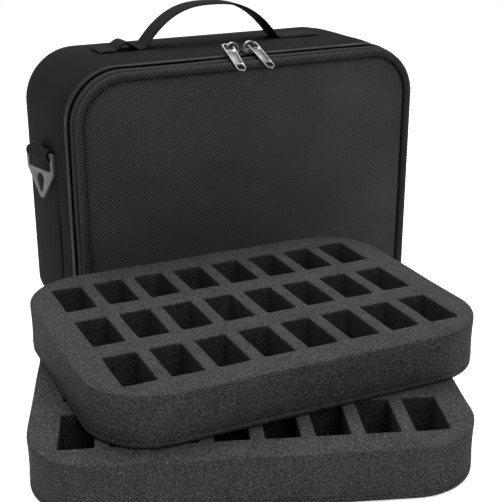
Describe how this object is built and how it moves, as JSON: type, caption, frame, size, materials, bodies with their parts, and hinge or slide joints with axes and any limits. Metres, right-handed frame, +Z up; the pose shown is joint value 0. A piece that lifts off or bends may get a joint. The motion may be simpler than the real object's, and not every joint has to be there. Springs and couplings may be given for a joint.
{
  "type": "miniature carry case",
  "caption": "Zipped black fabric carry case with a webbing handle and strap rings, and two pocketed foam trays for standing miniatures.",
  "frame": {"origin": "middle of the case's underside, on the surface that the case and the lower tray stand on", "axes": "+Z up, -Y out of the case's front (the lid), +X to the right of someone facing the front"},
  "size_m": [0.4961, 0.4948, 0.3083],
  "materials": {
    "panel_cloth": "coarse diamond-weave nylon, matt",
    "gusset_cloth": "fine plain-weave nylon, matt",
    "binding_cloth": "ribbed woven edge binding",
    "webbing": "polypropylene webbing and zipper tape, matt",
    "zipper_nylon": "moulded coil, semi-gloss",
    "nickel": "nickel-plated die casting, satin",
    "ring_plastic": "moulded plastic, matt grey",
    "tray_foam": "open-cell polyurethane foam, speckled charcoal"
  },
  "bodies": {
    "case": {"back_panel": "gusset_cloth", "body_gusset": "gusset_cloth", "hinge_gusset": "gusset_cloth", "rear_binding": "binding_cloth", "back_foam_pad": "tray_foam", "zipper_tape_rear": "webbing", "zipper_teeth_rear": "zipper_nylon", "side_strip_left": "webbing", "side_strip_right": "webbing", "strap_loop_left": "webbing", "strap_loop_right": "webbing", "handle_root_left": "webbing", "handle_root_right": "webbing"},
    "lid": {"lid_panel": "panel_cloth", "front_binding": "binding_cloth", "lid_band": "gusset_cloth", "zipper_tape_front": "webbing", "zipper_teeth_front": "zipper_nylon", "lid_foam_pad": "tray_foam"},
    "slider_left": {"slider_left": "nickel"},
    "slider_right": {"slider_right": "nickel"},
    "pull_left": {"pull_left": "nickel"},
    "pull_right": {"pull_right": "nickel"},
    "handle": {"handle_webbing": "webbing"},
    "ring_left": {"strap_ring_left": "ring_plastic"},
    "ring_right": {"strap_ring_right": "ring_plastic"},
    "lower_tray": {"lower_tray_base": "tray_foam", "lower_tray_pockets": "tray_foam"},
    "upper_tray": {"upper_tray_base": "tray_foam", "upper_tray_pockets": "tray_foam"}
  },
  "joints": [
    {"name": "lid_hinge", "type": "hinge", "parent": "case", "child": "lid", "pos_m": [0, -0.0708, 0.0067], "axis": [1, 0, 0], "range_deg": [0, 87]},
    {"name": "slider_left_slide", "type": "slide", "parent": "lid", "child": "slider_left", "axis": [-1, 0, 0], "range_m": [0, 0.105]},
    {"name": "slider_right_slide", "type": "slide", "parent": "lid", "child": "slider_right", "axis": [1, 0, 0], "range_m": [0, 0.118]},
    {"name": "pull_left_swing", "type": "hinge", "parent": "slider_left", "child": "pull_left", "pos_m": [-0.02, -0.052, 0.275], "axis": [-0.9986, 0.0523, 0], "range_deg": [0, 200]},
    {"name": "pull_right_swing", "type": "hinge", "parent": "slider_right", "child": "pull_right", "pos_m": [0.0056, -0.052, 0.275], "axis": [-0.9962, -0.0872, 0], "range_deg": [0, 200]},
    {"name": "handle_tilt", "type": "hinge", "parent": "case", "child": "handle", "pos_m": [-0.008, 0.015, 0.279], "axis": [1, 0, 0], "range_deg": [-50, 50]},
    {"name": "ring_left_swing", "type": "hinge", "parent": "case", "child": "ring_left", "pos_m": [-0.1916, 0.003, 0.18], "axis": [-0.225, 0.9744, 0], "range_deg": [0, 115]},
    {"name": "ring_right_swing", "type": "hinge", "parent": "case", "child": "ring_right", "pos_m": [0.1916, 0.003, 0.18], "axis": [-0.225, -0.9744, 0], "range_deg": [0, 115]},
    {"name": "lower_tray_slide", "type": "slide", "parent": "case", "child": "lower_tray", "axis": [0, -1, 0], "range_m": [0, 0.33]},
    {"name": "upper_tray_lift", "type": "slide", "parent": "lower_tray", "child": "upper_tray", "axis": [0, 0, 1], "range_m": [0, 0.12]}
  ],
  "couplings": [
    {"joint": "lower_tray_slide", "follows": "lid_hinge", "m_per_rad": 0.205}
  ]
}
